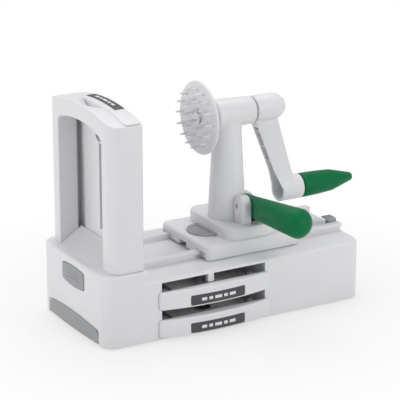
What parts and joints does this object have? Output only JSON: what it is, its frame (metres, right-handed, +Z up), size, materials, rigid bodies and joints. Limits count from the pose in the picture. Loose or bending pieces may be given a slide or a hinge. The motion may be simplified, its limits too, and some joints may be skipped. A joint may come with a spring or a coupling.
{
  "type": "table-top spiral vegetable slicer",
  "caption": "table-top spiral slicer: a cranked pronged wheel on a sliding carriage pushes food against an upright blade cartridge, with spare cartridges stored in the base",
  "frame": {"origin": "middle of the base on the plane that its feet stand on", "axes": "+X along the base from the blade tower to the crank, +Y away from the storage mouth, +Z up"},
  "size_m": [0.3535, 0.2117, 0.252],
  "materials": {
    "white_plastic": "smooth moulded plastic with a soft gloss",
    "grey_plastic": "fine-textured grey plastic",
    "green_plastic": "smooth deep green plastic",
    "label_dark": "dark inlaid label plate",
    "steel": "plain bright steel",
    "rubber": "matt dark rubber"
  },
  "bodies": {
    "base": {"base_housing": "white_plastic", "bottom_cover": "white_plastic", "cover_screws": "steel", "rubber_feet": "rubber", "left_runner": "white_plastic", "right_runner": "white_plastic", "stem_guide": "white_plastic", "lever_pin": "steel", "blade_tower": "white_plastic", "button_spring": "steel", "stop_spring": "steel"},
    "button": {"release_button": "grey_plastic", "tower_latch": "grey_plastic"},
    "stop": {"stop_latch": "grey_plastic"},
    "ribbon_cartridge": {"ribbon_frame": "white_plastic", "ribbon_label": "label_dark", "ribbon_blade": "steel", "ribbon_core_ring": "steel", "ribbon_screws": "steel"},
    "thick_cartridge": {"thick_frame": "white_plastic", "thick_label": "label_dark", "thick_blade": "steel", "thick_core_ring": "steel", "thick_screws": "steel", "thick_comb": "steel"},
    "thin_cartridge": {"thin_frame": "white_plastic", "thin_label": "label_dark", "thin_blade": "steel", "thin_core_ring": "steel", "thin_screws": "steel", "thin_comb": "steel"},
    "suction": {"suction_stem": "grey_plastic", "suction_cup": "rubber", "stem_clip": "steel"},
    "lever": {"suction_lever": "grey_plastic"},
    "carriage": {"carriage_plate": "white_plastic", "rail_keepers": "white_plastic", "keeper_screws": "steel", "column": "white_plastic", "column_screws": "steel", "shaft_bushes": "grey_plastic", "handle_core": "steel", "handle_pin": "steel", "push_handle": "green_plastic", "tab_spring": "steel"},
    "tab": {"release_tab": "grey_plastic"},
    "crank": {"crank_shaft": "steel", "hub_pin": "steel", "pronged_wheel": "white_plastic", "wheel_prongs": "white_plastic", "wheel_screw": "steel", "crank_arm": "white_plastic", "grip_axle": "steel", "grip_washer": "steel"},
    "grip": {"crank_grip": "green_plastic"}
  },
  "joints": [
    {"name": "carriage_slide", "type": "slide", "parent": "base", "child": "carriage", "axis": [1, 0, 0], "range_m": [-0.082, 0.047]},
    {"name": "crank_spin", "type": "hinge", "parent": "carriage", "child": "crank", "pos_m": [0.03, 0, 0.212], "axis": [1, 0, 0], "continuous": true},
    {"name": "grip_spin", "type": "hinge", "parent": "crank", "child": "grip", "pos_m": [0.158, 0, 0.1155], "axis": [1, 0, 0], "continuous": true},
    {"name": "ribbon_lift", "type": "slide", "parent": "base", "child": "ribbon_cartridge", "axis": [0, 0, 1], "range_m": [0, 0.15]},
    {"name": "thick_pull", "type": "slide", "parent": "base", "child": "thick_cartridge", "axis": [0, -1, 0], "range_m": [0, 0.14]},
    {"name": "thin_pull", "type": "slide", "parent": "base", "child": "thin_cartridge", "axis": [0, -1, 0], "range_m": [0, 0.14]},
    {"name": "button_press", "type": "slide", "parent": "base", "child": "button", "axis": [1, 0, 0], "range_m": [0, 0.003], "stiffness_N_per_m": 600, "springref_m": -0.003},
    {"name": "stop_press", "type": "slide", "parent": "base", "child": "stop", "axis": [0, 0, -1], "range_m": [0, 0.0105], "stiffness_N_per_m": 300, "springref_m": -0.003, "deforming": ["stop_spring"]},
    {"name": "tab_press", "type": "slide", "parent": "carriage", "child": "tab", "axis": [0, 0, -1], "range_m": [0, 0.002], "stiffness_N_per_m": 500, "springref_m": -0.003, "deforming": ["tab_spring"]},
    {"name": "lever_hinge", "type": "hinge", "parent": "base", "child": "lever", "pos_m": [-0.155, 0, 0.0085], "axis": [0, -1, 0], "range_deg": [0, 80]},
    {"name": "stem_lift", "type": "slide", "parent": "base", "child": "suction", "axis": [0, 0, 1], "range_m": [0, 0.0016]}
  ],
  "couplings": [
    {"joint": "lever_hinge", "follows": "stem_lift", "rad_per_m": 872.66}
  ]
}
